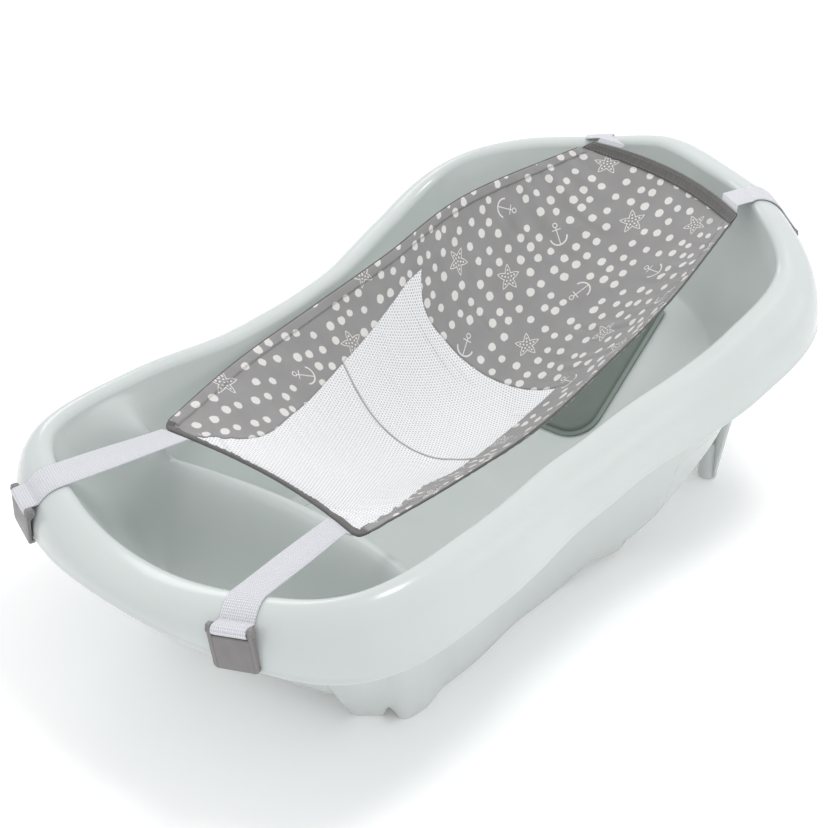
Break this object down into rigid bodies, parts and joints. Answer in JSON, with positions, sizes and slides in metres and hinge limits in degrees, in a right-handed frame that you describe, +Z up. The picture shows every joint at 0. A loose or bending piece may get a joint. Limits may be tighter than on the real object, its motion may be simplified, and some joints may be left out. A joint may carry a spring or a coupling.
{
  "type": "baby bathtub",
  "caption": "Moulded baby bathtub with a recline, drain and crotch ridge, and a padded fabric and mesh sling hung from its rim by clipped webbing straps.",
  "frame": {"origin": "on the floor, under the middle of the tub", "axes": "+X to the head end, +Y to the far long side, +Z up"},
  "size_m": [0.74, 0.451, 0.28],
  "materials": {
    "tub": "glossy moulded polypropylene, pale mint white",
    "plug": "soft moulded rubber",
    "pad": "closed-cell foam, matt",
    "cloth": "printed woven polyester",
    "mesh": "open knitted polyester mesh",
    "tape": "woven binding tape, stitched",
    "stay": "extruded plastic rod",
    "webbing": "woven polypropylene webbing",
    "clip": "moulded nylon, satin"
  },
  "bodies": {
    "tub": {"tub_shell": "tub", "back_pad": "pad"},
    "plug": {"drain_plug": "plug"},
    "sling": {"back_panel": "cloth", "far_wing": "cloth", "near_wing": "cloth", "seat_mesh_upper": "mesh", "seat_mesh_lower": "mesh", "head_tape": "tape", "head_stay": "stay", "foot_tape": "tape", "near_piping": "tape", "far_piping": "tape", "strap_head_near": "webbing", "strap_head_far": "webbing", "strap_foot_near": "webbing", "strap_foot_far": "webbing"},
    "clip_head_near": {"clip_head_near": "clip", "strap_end_head_near": "webbing"},
    "clip_head_far": {"clip_head_far": "clip", "strap_end_head_far": "webbing"},
    "clip_foot_near": {"clip_foot_near": "clip", "strap_end_foot_near": "webbing"},
    "clip_foot_far": {"clip_foot_far": "clip", "strap_end_foot_far": "webbing"}
  },
  "joints": [
    {"name": "plug_lift", "type": "slide", "parent": "tub", "child": "plug", "axis": [0, 0, 1], "range_m": [0, 0.03]},
    {"name": "sling_lift", "type": "slide", "parent": "tub", "child": "sling", "axis": [0, 0, 1], "range_m": [0, 0.2]},
    {"name": "clip_swing_head_near", "type": "hinge", "parent": "sling", "child": "clip_head_near", "pos_m": [0.27024, -0.1239, 0.26826], "axis": [-0.6636, -0.7389, -0.1169], "range_deg": [0, 100]},
    {"name": "clip_swing_head_far", "type": "hinge", "parent": "sling", "child": "clip_head_far", "pos_m": [0.30424, 0.06218, 0.27413], "axis": [0.4566, -0.8825, 0.1126], "range_deg": [0, 100]},
    {"name": "clip_swing_foot_near", "type": "hinge", "parent": "sling", "child": "clip_foot_near", "pos_m": [-0.33182, -0.09439, 0.16003], "axis": [-0.2897, 0.9475, -0.1355], "range_deg": [0, 100]},
    {"name": "clip_swing_foot_far", "type": "hinge", "parent": "sling", "child": "clip_foot_far", "pos_m": [-0.32659, 0.11269, 0.16302], "axis": [0.2973, 0.9385, 0.1758], "range_deg": [0, 100]}
  ],
  "couplings": [
    {"joint": "clip_swing_head_near", "follows": "sling_lift", "rad_per_m": 8.7258},
    {"joint": "clip_swing_head_far", "follows": "sling_lift", "rad_per_m": 8.7258},
    {"joint": "clip_swing_foot_near", "follows": "sling_lift", "rad_per_m": 8.7258},
    {"joint": "clip_swing_foot_far", "follows": "sling_lift", "rad_per_m": 8.7258}
  ]
}
